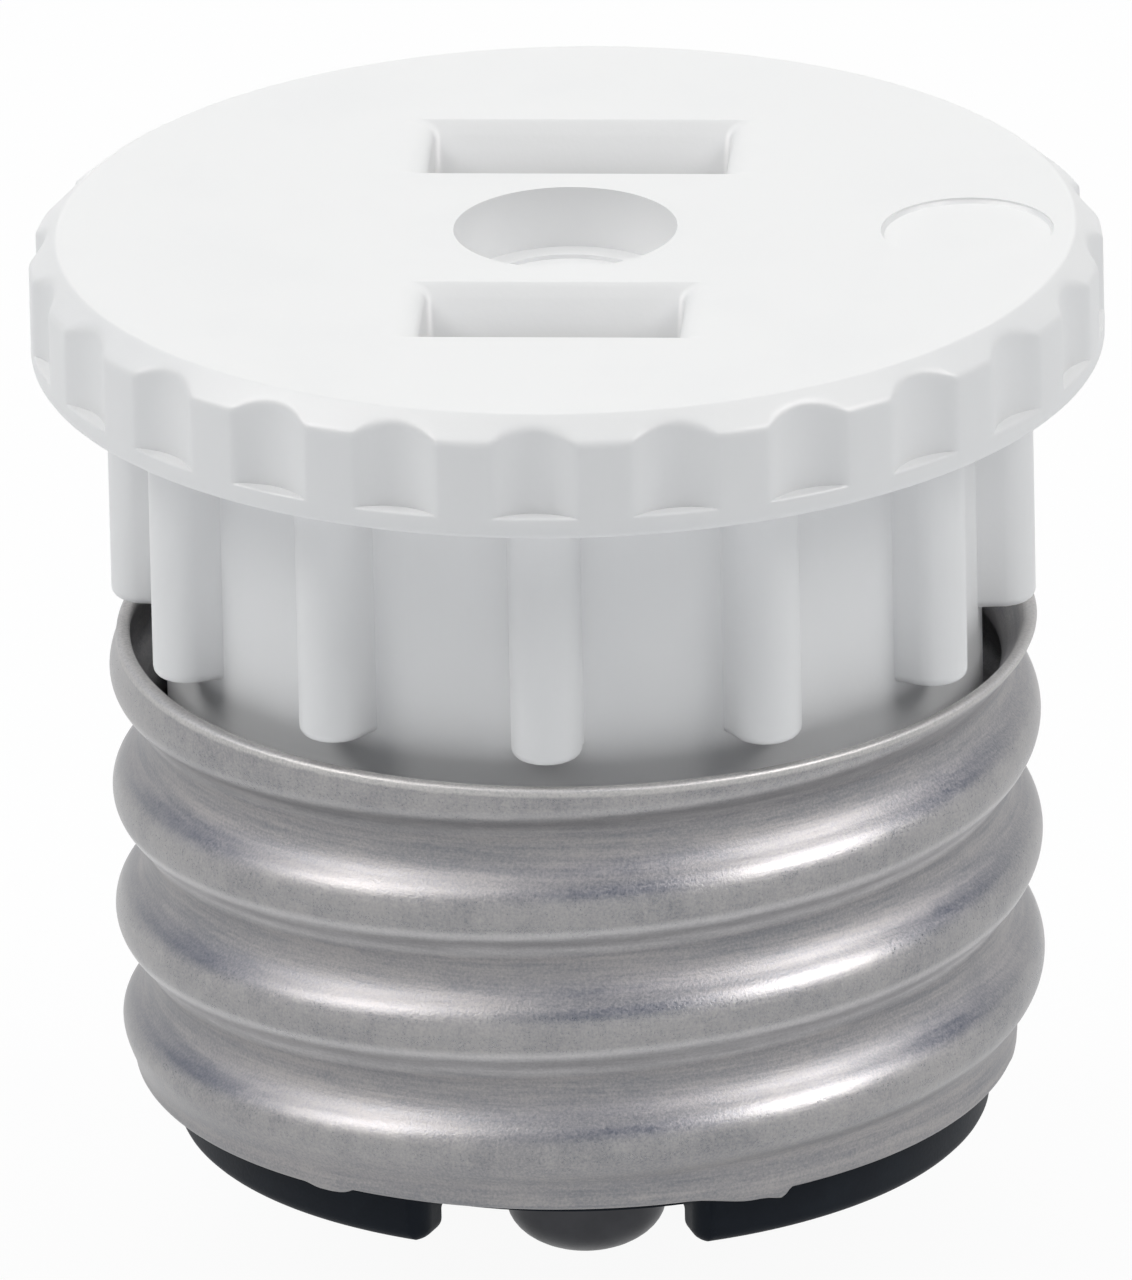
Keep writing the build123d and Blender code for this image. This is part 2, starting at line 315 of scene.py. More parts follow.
@dataclass(frozen=True)
class RolledAluminium(Finish):
    """Dull tumbled aluminium sheet: grain all over, rolling streaks in the roots, rubbed crests, and painted
    light: lighter colours on the flanks that face the turn of thread below.
    """

    name: str = "shell_aluminium"
    bare: Colour = (0.39, 0.374, 0.37)
    dim: Colour = (0.2, 0.207, 0.226)
    # bright and dull are painted light: the lighter colours of the lower flanks, in place of light bounced
    # between the turns
    bright: Colour = (0.68, 0.67, 0.675)
    dull: Colour = (0.45, 0.445, 0.455)
    rubbed: Colour = (0.54, 0.53, 0.52)
    shine: float = 0.75
    streak: Noise = Noise(0.3, 4.0, 0.6, (0.05, 0.05, 1.0))
    lines: Noise = Noise(0.09, 3.0, 0.6, (0.05, 0.05, 1.0))
    hair: Noise = Noise(0.08, 2.0, 0.6, (1.0, 1.0, 0.1))
    grain: Noise = Noise(0.08, 3.0, 0.7)
    mottle: Noise = Noise(0.6, 4.0, 0.65)
    blotch: Noise = Noise(3.0, 3.0, 0.55)
    relief: float = 0.025
    edge: float = 0.3           # height of the bare cut edge at the rim
    thread: Thread = Thread()

    def painted_light_on_lower_flanks(self, graph: Graph, place: Wire) -> Wire:
        """Where painted light goes: one on the flanks that face the turn of thread below, which get lighter
        colours in place of the light that bounces between the turns; 0 on crests, roots and upper flanks, and
        less near the rim.

        Args:
            graph: The material's graph.
            place: The point on the shell.

        Returns:
            The share.
        """
        x, y, level = graph.axes(place)
        crest = SEAT_LEVEL + self.thread.crest_height
        around = graph.maths("ARCTAN2", y, x) * (0.5 / math.pi)
        turn = (level - crest) * (1 / self.thread.pitch) - around
        flank = graph.rise(0 - graph.maths("SINE", turn * (2 * math.pi), 0.0), 0.5, 0.98)
        above_band = graph.rise(level, crest - 0.6, crest + 0.5)
        near_rim = graph.rise(level, RIM_LEVEL - 2.8, RIM_LEVEL - 1.8)
        return flank * above_band * (1 - 0.6 * near_rim)

    def sockets(self, graph: Graph) -> dict[str, Any]:
        """Metal whose streaks run round the shell, with fine upright hairs on the crests and painted light on
        the lower flanks.

        Args:
            graph: The material's graph.

        Returns:
            What each socket holds, by its name.
        """
        place = graph.position()
        layers = graph.noise(
            place, self.streak, self.lines, self.hair, self.grain, self.mottle, self.blotch)
        streak, lines, hair, grain, mottle, blotch = (layer - 0.5 for layer in layers)
        height = graph.rise(graph.radius(place), self.thread.root, self.thread.crest)
        low = 1 - height * 0.7
        tone = 0.5 + grain * 1.2 + hair * height * 0.25 + mottle * 0.3 + blotch * 0.3
        tone = graph.rise(tone + (streak + lines * 0.5) * low, 0.0, 1.0)
        wear = graph.rise(height + blotch * 0.6 + mottle * 0.4, 0.86, 1.06)
        _, _, level = graph.axes(place)
        cut = graph.rise(level + mottle * 0.12, RIM_LEVEL - self.edge, RIM_LEVEL - 0.6 * self.edge)
        worn = graph.maths("MAXIMUM", wear * 0.15, cut * (0.75 + grain * 1.6))
        upper = graph.mix(tone, self.dim, self.bare)
        # painted light: the lower flanks take the lighter colours, from dull to bright, in place of light
        # bounced between the turns
        under = graph.mix(tone, self.dull, self.bright)
        sheet = graph.mix(self.painted_light_on_lower_flanks(graph, place), upper, under)
        return {
            "Base Color": graph.mix(worn, sheet, self.rubbed),
            "Metallic": self.shine,
            "Roughness": 0.5 - height * 0.18 + streak * 0.2 + grain * 0.3 + mottle * 0.1 + cut * 0.2,
            "Normal": graph.bump(grain * 0.6 + lines * low * 0.5 + hair * height * 0.2, self.relief, 0.5),
        }


@dataclass(frozen=True)
class BlackMoulding(Finish):
    """Blue-black satin plastic."""

    name: str = "black_moulding"
    colour: Colour = (0.005, 0.008, 0.0135)
    pale: Colour = (0.01, 0.0145, 0.021)
    shine: float = 0.12
    gloss: float = 0.4
    cloud: Noise = Noise(1.2)
    grain: Noise = Noise(0.12, roughness=0.6)
    patches: Patches = Patches(0.45, 0.75, 0.6)
    relief: float = 0.012

    def sockets(self, graph: Graph) -> dict[str, Any]:
        """Nearly black, with a moulded grain and paler cloudy places.

        Args:
            graph: The material's graph.

        Returns:
            What each socket holds, by its name.
        """
        cloud, grain = graph.noise(graph.position(), self.cloud, self.grain)
        return {
            "Base Color": self.patches.colour(graph, cloud, self.colour, self.pale),
            "Roughness": self.gloss + cloud * 0.12 + grain * 0.1,
            "Specular IOR Level": self.shine,
            "Normal": graph.bump(grain, self.relief, 0.4),
        }


@dataclass(frozen=True)
class PlatedMetal(Finish):
    """Dull plated metal with fine turning marks round the Z axis."""

    name: str = "plated_contact"
    # colour and stain: a dark plated grey, darkened further to the tone the contact has in the shade under
    # the foot, which is painted shade
    colour: Colour = (0.055, 0.056, 0.061)
    stain: Colour = (0.048, 0.049, 0.053)
    gloss: float = 0.42
    grain: Noise = Noise(0.1, roughness=0.6)
    cloud: Noise = Noise(0.9)
    rings: Noise = Noise(0.09, detail=2.0)
    patches: Patches = Patches(0.4, 0.7, 0.7)
    relief: float = 0.01

    def sockets(self, graph: Graph) -> dict[str, Any]:
        """Metal with turning marks and cloudy stains.

        Args:
            graph: The material's graph.

        Returns:
            What each socket holds, by its name.
        """
        place = graph.position()
        grain, cloud = graph.noise(place, self.grain, self.cloud)
        _, _, height = graph.axes(place)
        section = graph.add("ShaderNodeCombineXYZ", None, {0: graph.radius(place), 2: height})
        [rings] = graph.noise(section, self.rings)
        return {
            "Base Color": self.patches.colour(graph, cloud, self.colour, self.stain),
            "Metallic": 1.0,
            "Roughness": self.gloss + (cloud - 0.5) * 0.16 + (grain - 0.5) * 0.12,
            "Normal": graph.bump(rings * 0.7 + grain * 0.3, self.relief, 0.4),
        }


@dataclass(frozen=True)
class RolledBrass(Finish):
    """Bright brass sheet with rolling lines along its length."""

    name: str = "contact_brass"
    colour: Colour = (0.78, 0.6, 0.31)
    tarnish: Colour = (0.56, 0.4, 0.2)
    gloss: float = 0.26
    lines: Noise = Noise(0.12, roughness=0.6, stretch=(1.0, 1.0, 0.08))
    cloud: Noise = Noise(1.8)
    patches: Patches = Patches(0.45, 0.75, 0.6)
    relief: float = 0.008

    def sockets(self, graph: Graph) -> dict[str, Any]:
        """Brass with fine upright lines and patches of tarnish.

        Args:
            graph: The material's graph.

        Returns:
            What each socket holds, by its name.
        """
        lines, cloud = graph.noise(graph.position(), self.lines, self.cloud)
        return {
            "Base Color": self.patches.colour(graph, cloud, self.colour, self.tarnish),
            "Metallic": 1.0,
            "Roughness": self.gloss + lines * 0.16,
            "Normal": graph.bump(lines, self.relief, 0.4),
        }


@dataclass(frozen=True)
class Studio:
    """Pale floor, soft lamps and the camera that stands where the photograph was taken."""

    floor_reach: float = 3.0
    floor_drop: float = 0.05 * MM
    floor_colour: Colour = (0.9, 0.91, 0.93)
    floor_glow: float = 0.94
    ambient: float = 0.12
    sky: Colour = (0.93, 0.965, 1.0)
    warm: Colour = (1.0, 0.965, 0.945)
    cool: Colour = (0.95, 0.975, 1.0)
    plain: Colour = (1.0, 1.0, 0.985)
    dark: Colour = (0.015, 0.085, 0.26)
    far: float = 0.9            # how far lamps and cards stand from the adapter
    overhead: Point = (0.0, 0.3, 1.05)
    image: tuple[int, int] = (1132, 1280)
    focal_pixels: float = 35381.7
    sensor: float = 36.0
    distance: float = 1.0
    elevation: float = 22.02
    azimuth: float = 3.95
    roll: float = 1.2457
    axis_pixel: tuple[float, float] = (577.87, 800.0)
    axis_height: float = 13.52 * MM

    def build(self) -> None:
        """Make the floor, the world, the lamps, the cards and the camera."""
        bpy.context.scene.view_settings.view_transform = "Standard"
        self.floor()
        self.world()
        self.lamp("key_lamp", self.spot(-80, 46), size=(0.5, 0.4), power=2.6, colour=self.plain)
        self.lamp("side_lamp", self.spot(72, 43), size=(0.5, 0.4), power=2.2, colour=self.plain)
        self.lamp("top_lamp", Vector(self.overhead), size=(1.3, 1.3), power=7.7, colour=self.plain)
        self.lamp("fill_lamp", self.spot(-4, 30), size=(0.8, 0.4), power=0.5, colour=self.cool)
        self.card("left_light", self.spot(-72, 46), size=(0.46, 0.44), colour=self.warm, strength=7.0)
        self.card("right_light", self.spot(61, 40), size=(0.4, 0.44), colour=self.warm, strength=11.0)
        self.card("front_flag", self.spot(9, 47), size=(0.56, 0.54), colour=self.dark)
        self.card("left_flag", self.spot(-122, 34), size=(0.6, 0.56), colour=self.dark)
        self.card("right_flag", self.spot(107, 34), size=(0.5, 0.46), colour=self.dark)
        self.camera()

    def spot(self, bearing: float, elevation: float) -> Vector:
        """A place round the adapter.

        Args:
            bearing: Degrees to the right of the camera.
            elevation: Degrees above the horizon.

        Returns:
            The place, as far away as lamps and cards stand.
        """
        around = math.radians(self.azimuth + bearing)
        up = math.radians(elevation)
        flat = math.cos(up)
        return self.far * Vector((flat * math.sin(around), -flat * math.cos(around), math.sin(up)))

    def background(self, graph: Graph) -> Wire:
        """One where the background is seen, straight or in a reflection.

        Args:
            graph: The graph of the floor or the world.

        Returns:
            The share.
        """
        path = graph.add("ShaderNodeLightPath").socket.node.outputs
        seen = Wire(graph, path["Is Camera Ray"])
        for kind in ("Is Glossy Ray", "Is Transmission Ray"):
            seen = graph.maths("MAXIMUM", seen, Wire(graph, path[kind]))
        return seen

    def floor(self) -> None:
        """Lay the floor under the contact's tip."""
        bpy.ops.object.select_all(action="DESELECT")
        bpy.ops.mesh.primitive_plane_add(size=2 * self.floor_reach, location=(0, 0, -self.floor_drop))
        plane = bpy.context.object
        plane.name = "floor"
        plane.data.materials.append(coated("floor_paper", self.paper))

    def paper(self, graph: Graph) -> Wire:
        """The floor's shader: nearly all glow where it is seen, so that a faint shadow shows, else paper.

        Args:
            graph: The floor's graph.

        Returns:
            The shader.
        """
        paper = graph.add("ShaderNodeBsdfDiffuse", None, {"Color": (*self.floor_colour, 1.0)})
        glow = graph.add("ShaderNodeEmission", None, {"Strength": 1.0})
        share = self.background(graph) * self.floor_glow
        return graph.add("ShaderNodeMixShader", None, {0: share, 1: paper, 2: glow})

    def world(self) -> None:
        """White where it is seen, and a soft even light on everything."""
        world = bpy.data.worlds.new("studio")
        world.use_nodes = True
        bpy.context.scene.world = world
        graph = Graph(world.node_tree)
        strength = self.ambient + self.background(graph) * (1 - self.ambient)
        seen = graph.mix(self.background(graph), self.sky, (1.0, 1.0, 1.0))
        light = graph.add("ShaderNodeBackground", None, {"Color": seen, "Strength": strength})
        graph.add("ShaderNodeOutputWorld", None, {"Surface": light})

    def lamp(self, name: str, place: Vector, size: tuple[float, float], power: float,
             colour: Colour) -> None:
        """Hang one soft box that faces the adapter; the cards stand for it in the metal.

        Args:
            name: The lamp's name.
            place: Where it hangs, in metres.
            size: Its width and height in metres.
            power: Its power in watts.
            colour: The colour of its light.
        """
        data = bpy.data.lights.new(name, "AREA")
        data.shape = "RECTANGLE"
        data.size, data.size_y = size
        data.energy = power
        data.color = colour
        lamp = bpy.data.objects.new(name, data)
        bpy.context.collection.objects.link(lamp)
        lamp.location = place
        lamp.rotation_euler = self.facing(place)
        lamp.visible_glossy = False

    def facing(self, place: Vector) -> Any:
        """The turn with which a lamp or card at a place faces the adapter."""
        toward = Vector((0, 0, self.axis_height)) - place
        return toward.to_track_quat("-Z", "Y").to_euler()

    def card(self, name: str, place: Vector, size: tuple[float, float], colour: Colour,
             strength: float = 1.0) -> None:
        """Hang one card that only shows as a reflection.

        Args:
            name: The card's name.
            place: Where it hangs, in metres.
            size: Its width and height in metres.
            colour: Its colour.
            strength: How bright it is, 1 for white paper.
        """
        bpy.ops.object.select_all(action="DESELECT")
        bpy.ops.mesh.primitive_plane_add(size=1, location=place, rotation=self.facing(place))
        card = bpy.context.object
        card.name = name
        card.scale = (*size, 1.0)
        glow = {"Color": (*colour, 1.0), "Strength": strength}
        card.data.materials.append(coated(name, lambda graph: graph.add("ShaderNodeEmission", None, glow)))
        card.visible_camera = card.visible_diffuse = card.visible_shadow = False

    def camera(self) -> None:
        """Set up the camera so that the adapter's axis falls on its pixel of the photograph."""
        data = bpy.data.cameras.new("camera")
        data.sensor_fit = "VERTICAL"
        data.sensor_height = self.sensor
        data.lens = self.focal_pixels * self.sensor / self.image[1]
        camera = bpy.data.objects.new("camera", data)
        bpy.context.collection.objects.link(camera)
        shift = [(pixel - size / 2) / self.focal_pixels for pixel, size in zip(self.axis_pixel, self.image)]
        sight = Vector((shift[0], -shift[1], -1.0))
        aim = sight.rotation_difference(Vector((0, 0, -1))).to_matrix()
        around = Matrix.Rotation(math.radians(self.azimuth), 3, "Z")
        upright = around @ Matrix.Rotation(math.radians(90 - self.elevation), 3, "X")
        turn = upright @ Matrix.Rotation(-math.radians(self.roll), 3, "Z") @ aim
        place = upright @ Vector((0, 0, self.distance)) + Vector((0, 0, self.axis_height))
        camera.matrix_world = Matrix.Translation(place) @ turn.to_4x4()
        bpy.context.scene.camera = camera


class Bench:
    """Steps of modelling by hand that every piece needs."""

    @staticmethod
    def pick(piece: bpy.types.Object) -> None:
        """Select one piece alone and make it active.

        Args:
            piece: The piece.
        """
        bpy.ops.object.select_all(action="DESELECT")
        piece.select_set(True)
        bpy.context.view_layer.objects.active = piece

    @staticmethod
    def modify(piece: bpy.types.Object, kind: str, **settings: Any) -> None:
        """Add a modifier to a piece and apply it.

        Args:
            piece: The piece.
            kind: The modifier's type.
            **settings: Its options.
        """
        Bench.pick(piece)
        bpy.ops.object.modifier_add(type=kind)
        modifier = piece.modifiers[-1]
        for option, value in settings.items():
            setattr(modifier, option, value)
        bpy.ops.object.modifier_apply(modifier=modifier.name)

    @staticmethod
    def cut(piece: bpy.types.Object, cutter: bpy.types.Object) -> None:
        """Take a cutter's form out of a piece and throw the cutter away."""
        Bench.modify(piece, "BOOLEAN", operation="DIFFERENCE", solver="EXACT", object=cutter)
        bpy.data.objects.remove(cutter, do_unlink=True)

    @staticmethod
    def choose(piece: bpy.types.Object, part: Part, wanted: Callable[[Any], bool]) -> None:
        """Go into edit mode with some faces or edges of a piece selected.

        Args:
            piece: The piece.
            part: Whether faces or edges are chosen.
            wanted: Says which of them are.
        """
        Bench.pick(piece)
        bpy.ops.object.mode_set(mode="EDIT")
        bpy.ops.mesh.select_mode(type=part.name)
        bpy.ops.mesh.select_all(action="DESELECT")
        bpy.ops.object.mode_set(mode="OBJECT")
        for item in getattr(piece.data, part.value):
            item.select = wanted(item)
        bpy.ops.object.mode_set(mode="EDIT")

    @staticmethod
    def box(size: Point, low: Point) -> bpy.types.Object:
        """A box to start a cutter from.

        Args:
            size: Its length, width and height.
            low: The middle of its lower face.

        Returns:
            The box.
        """
        bpy.ops.object.select_all(action="DESELECT")
        bpy.ops.mesh.primitive_cube_add(size=1, location=(low[0], low[1], low[2] + size[2] / 2))
        bpy.ops.transform.resize(value=size)
        bpy.ops.object.transform_apply(location=True, rotation=True, scale=True)
        return bpy.context.object

    @staticmethod
    def drill(radius: float, low: float, high: float, x: float = 0.0) -> bpy.types.Object:
        """A round bar for cutting a hole.

        Args:
            radius: Its radius.
            low: The height of its lower end.
            high: The height of its upper end.
            x: Where its axis stands.

        Returns:
            The bar.
        """
        bpy.ops.object.select_all(action="DESELECT")
        bpy.ops.mesh.primitive_cylinder_add(
            vertices=64, radius=radius, depth=high - low, location=(x, 0, (low + high) / 2))
        bpy.ops.object.transform_apply(location=True, rotation=True, scale=True)
        return bpy.context.object

    @staticmethod
    def tidy(piece: bpy.types.Object, gap: float = 1e-4) -> None:
        """Merge the doubles of a piece and turn its faces outwards.

        Args:
            piece: The piece.
            gap: How close doubles lie.
        """
        Bench.pick(piece)
        bpy.ops.object.mode_set(mode="EDIT")
        bpy.ops.mesh.select_all(action="SELECT")
        bpy.ops.mesh.remove_doubles(threshold=gap)
        bpy.ops.mesh.dissolve_degenerate(threshold=gap)
        bpy.ops.mesh.normals_make_consistent(inside=False)
        bpy.ops.object.mode_set(mode="OBJECT")

    @staticmethod
    def finish(piece: bpy.types.Object, node: str, finish: Finish, smooth: float = 32.0) -> None:
        """Bring a piece to metres, smooth it, dress it and put it in its node's place.

        Args:
            piece: The piece, still in millimetres.
            node: The node that it stands for.
            finish: What it is dressed in.
            smooth: The angle in degrees up to which edges are smoothed.
        """
        Bench.pick(piece)
        bpy.ops.transform.resize(value=(MM, MM, MM), center_override=(0, 0, 0))
        bpy.ops.object.transform_apply(location=True, rotation=True, scale=True)
        bpy.ops.object.shade_smooth_by_angle(angle=math.radians(smooth))
        Bench.modify(piece, "WEIGHTED_NORMAL", keep_sharp=True, weight=80)
        piece.data.materials.clear()
        piece.data.materials.append(finish.material())
        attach(piece, "root")
        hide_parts(node)
        LOG.info("%s: %d faces", piece.name, len(piece.data.polygons))


@dataclass
class Lathe:
    """A ring of edges that is drawn out, row by row, into a turned form."""

    name: str
    columns: int
    rows: Sequence[Row]
    ends: Cap = Cap.CLOSED

    def turn(self) -> bpy.types.Object:
        """Draw the ring through all rows.

        Returns:
            The turned form, its points in order of rows.
        """
        radius, height = self.rows[0]
        bpy.ops.object.select_all(action="DESELECT")
        bpy.ops.mesh.primitive_circle_add(
            vertices=self.columns, radius=radius, fill_type=self.ends.value, location=(0, 0, height))
        bpy.ops.object.transform_apply(location=True, rotation=True, scale=True)
        piece = bpy.context.object
        piece.name = self.name
        bpy.ops.object.mode_set(mode="EDIT")
        bpy.ops.mesh.select_mode(type="EDGE")
        for next_radius, next_height in self.rows[1:]:
            bpy.ops.mesh.extrude_edges_move(
                TRANSFORM_OT_translate={"value": (0, 0, next_height - height)})
            share = next_radius / radius
            bpy.ops.transform.resize(value=(share, share, 1), center_override=(0, 0, next_height))
            radius, height = next_radius, next_height
        if self.ends is Cap.CLOSED:
            bpy.ops.mesh.edge_face_add()
        bpy.ops.object.mode_set(mode="OBJECT")
        return piece

    def solid(self) -> bpy.types.Object:
        """Turn a closed form with its faces outwards.

        Returns:
            The form.
        """
        piece = self.turn()
        Bench.tidy(piece)
        return piece

    def reshape(self, piece: bpy.types.Object, angles: np.ndarray, radii: np.ndarray,
                heights: np.ndarray) -> None:
        """Move each point of a turned form to its own angle, radius and height.

        Args:
            piece: A form that this lathe has just turned.
            angles: The angle of each column, or of each point by row and column.
            radii: The radius of each point, by row and column.
            heights: The height of each row, or of each point by row and column.
        """
        points = np.empty(3 * len(piece.data.vertices))
        piece.data.vertices.foreach_get("co", points)
        points = points.reshape(-1, 3)
        turned = np.arctan2(points[:, 1], points[:, 0])
        column = np.rint(turned / (2 * math.pi) * self.columns).astype(int) % self.columns
        row = np.arange(len(points)) // self.columns
        radius = radii[row, column]
        angle = np.broadcast_to(angles, radii.shape)[row, column]
        points[:, 0] = radius * np.cos(angle)
        points[:, 1] = radius * np.sin(angle)
        points[:, 2] = np.broadcast_to(heights, radii.shape)[row, column]
        piece.data.vertices.foreach_set("co", points.ravel())
        piece.data.update()


def soft_min(first: np.ndarray | float, second: np.ndarray | float, blend: float) -> np.ndarray:
    """The smaller of two values, rounded where they are less than the blend apart."""
    share = np.clip(0.5 + 0.5 * (np.asarray(second) - first) / blend, 0, 1)
    return second + (first - second) * share - blend * share * (1 - share)


def soft_max(first: np.ndarray | float, second: np.ndarray | float, blend: float) -> np.ndarray:
    """The larger of two values, rounded where they are less than the blend apart."""
    return -soft_min(-np.asarray(first), -np.asarray(second), blend)


def smooth_step(value: np.ndarray | float, low: float, high: float) -> np.ndarray:
    """A smooth step from 0 at the low value to 1 at the high one."""
    share = np.clip((np.asarray(value) - low) / (high - low), 0, 1)
    return share * share * (3 - 2 * share)


def off_nearest(angle: np.ndarray, repeats: int) -> np.ndarray:
    """Angles from the nearest middle of a pattern that repeats round the axis, one middle at +X."""
    half = math.pi / repeats
    return (angle + half) % (2 * half) - half


def crowded(repeats: int, count: int, edge: float, spread: float, crowd: float,
            turn: float = 0.0, fineness: int = 2001) -> np.ndarray:
    """Columns for a pattern that repeats round the axis, close together near the pattern's edges.

    Args:
        repeats: How often the pattern repeats.
        count: How many columns each repeat has.
        edge: The angle from a pattern's middle to its edges.
        spread: How wide the crowded stretch is, as a share of that angle.
        crowd: How much closer the columns lie there.
        turn: The angle of the first middle from +X.
        fineness: How many places across a repeat the crowding is worked out at.

    Returns:
        The angles of the columns, the first of them at the first middle.
    """
    half = math.pi / repeats
    fine = np.linspace(-half, half, fineness)
    density = 1 + crowd * np.exp(-((np.abs(fine) - edge) / (spread * edge)) ** 2)
    share = np.concatenate([[0.0], np.cumsum((density[1:] + density[:-1]) / 2)])
    across = np.interp(np.arange(count) / count, share / share[-1], fine)
    middles = 2 * half * np.arange(repeats) + turn
    return np.roll((middles[:, None] + across[None, :]).ravel(), -(count // 2))


def quarter(size: float, count: int) -> list[Row]:
    """Points of a quarter round: how far each has risen, and how far back it still lies."""
    angles = np.linspace(0, math.pi / 2, count)
    return [(size * (1 - math.cos(angle)), size * (1 - math.sin(angle))) for angle in angles]


def rounded(corners: Sequence[tuple[float, float, float]], steps: int = 4) -> list[Row]:
    """A half section with its corners rounded.

    Args:
        corners: Radius, height and rounding of each corner; the ends aren't rounded.
        steps: How many pieces each arc has.

    Returns:
        The rows of the section.
    """
    rows: list[Row] = [corners[0][:2]]
    for before, (r, z, rounding), after in zip(corners, corners[1:], corners[2:]):
        corner = Vector((r, z))
        inward = (Vector(before[:2]) - corner).normalized()
        outward = (Vector(after[:2]) - corner).normalized()
        if rounding == 0:
            rows.append((r, z))
            continue
        half = inward.angle(outward) / 2
        middle = corner + (inward + outward).normalized() * (rounding / math.sin(half))
        start = (corner + inward * (rounding / math.tan(half)) - middle).normalized()
        end = (corner + outward * (rounding / math.tan(half)) - middle).normalized()
        for step in range(steps + 1):
            rows.append(tuple(middle + rounding * start.slerp(end, step / steps)))
    rows.append(corners[-1][:2])
    return rows


@dataclass(frozen=True)
class Station:
    """One row of the outlet moulding and what is carved there."""

    radius: float
    height: float
    rib: float = 0.0        # radius of the rib's section here, 0 below the ribs
    clear: float = 0.0      # how far the row lies outside the ribbed wall
    plain: float = 1.0      # 1 for a round row, 0 for one that follows the ribbed wall
    bite: float = 0.0       # how far the flutes may cut in here


